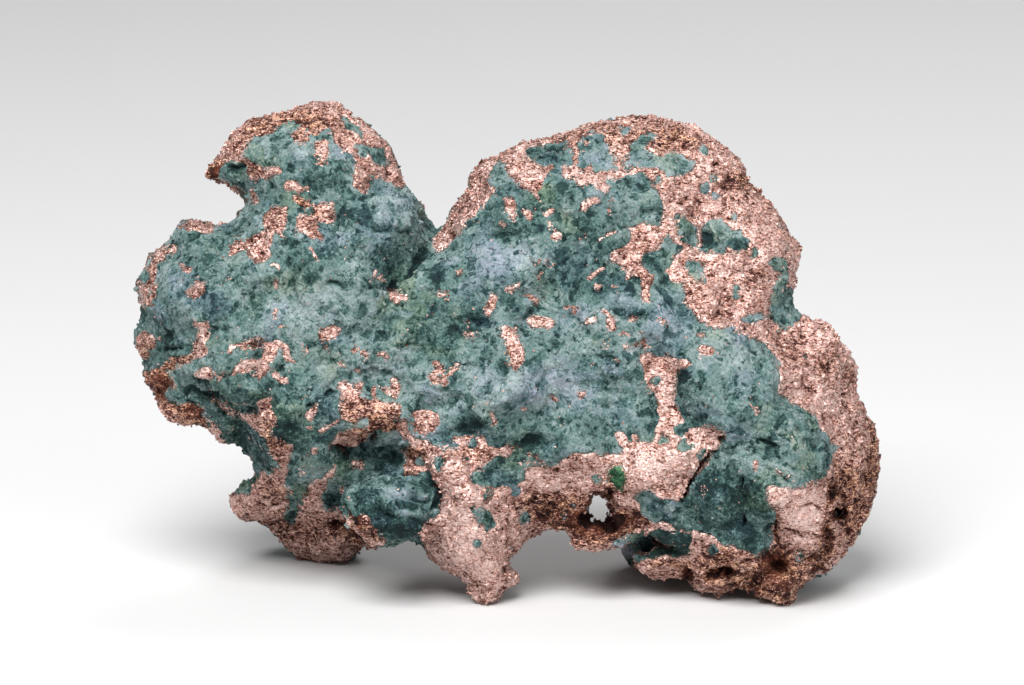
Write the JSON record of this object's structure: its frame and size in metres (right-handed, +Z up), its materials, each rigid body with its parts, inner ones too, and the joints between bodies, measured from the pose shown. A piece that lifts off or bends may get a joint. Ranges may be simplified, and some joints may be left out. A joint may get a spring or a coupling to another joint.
{
  "type": "native copper nugget",
  "caption": "Free-standing natural copper mass grown through blue-green altered rock, with a notched top, a pierced lower edge and worn feet it stands on.",
  "frame": {"origin": "middle of the nugget's box on the surface it stands on", "axes": "+X along the nugget's width, to the right as seen from its broad front; +Y from the front to the back; +Z up"},
  "size_m": [0.0408, 0.0178, 0.0262],
  "materials": {
    "native_copper": "satin",
    "green_rock": "matte"
  },
  "bodies": {
    "root": {"copper_nugget": "native_copper"}
  },
  "joints": []
}
